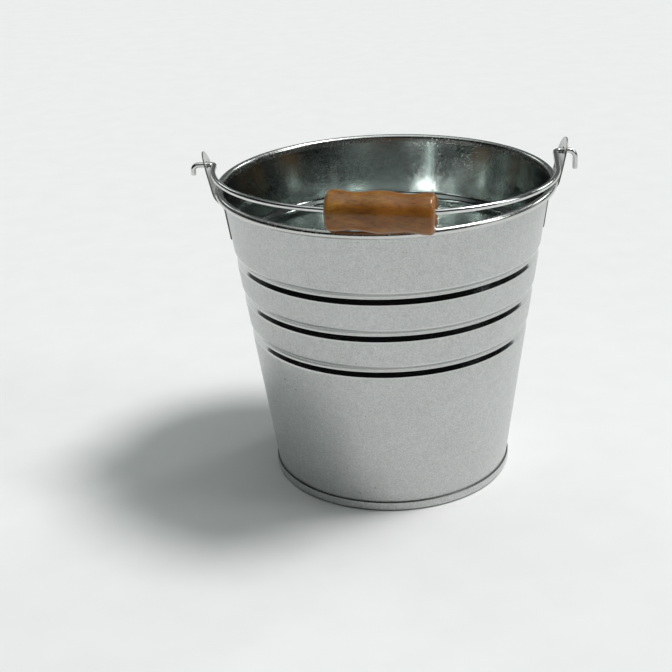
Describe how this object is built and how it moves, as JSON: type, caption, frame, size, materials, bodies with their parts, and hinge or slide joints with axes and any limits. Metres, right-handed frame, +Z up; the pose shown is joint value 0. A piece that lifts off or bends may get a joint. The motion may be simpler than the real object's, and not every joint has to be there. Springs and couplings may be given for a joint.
{
  "type": "bucket",
  "caption": "Small round tapered galvanised pail with rolled grooves, wired rim, flat ears and a swinging wire bail with a turned wooden grip.",
  "frame": {"origin": "on the bucket's axis, in the plane of the bottom seam ring that it stands on", "axes": "+Z up along the bucket's axis, X along the bail's pivot line through both ears, -Y the front, where the bail lies at rest"},
  "size_m": [0.1923, 0.1831, 0.1743],
  "materials": {
    "zinc_sheet": "hot-dip galvanised, satin",
    "steel_wire": "drawn steel wire",
    "sealant": "matt seam compound",
    "ear_sheet": "galvanised, satin",
    "bail_wire": "bright galvanised wire",
    "grip_wood": "stained hardwood, thin clear lacquer"
  },
  "bodies": {
    "bucket": {"wall": "zinc_sheet", "bottom": "zinc_sheet", "rim_wire": "steel_wire", "seam_sealant": "sealant", "ear_left": "ear_sheet", "ear_right": "ear_sheet"},
    "bail": {"bail": "bail_wire"},
    "grip": {"grip": "grip_wood"}
  },
  "joints": [
    {"name": "bail_hinge", "type": "hinge", "parent": "bucket", "child": "bail", "pos_m": [0, 0, 0.1651], "axis": [-1, 0, 0], "range_deg": [0, 180]},
    {"name": "grip_spin", "type": "hinge", "parent": "bail", "child": "grip", "pos_m": [-0.0047, -0.085, 0.16455], "axis": [0.983, -0.1822, -0.0227], "continuous": true}
  ]
}
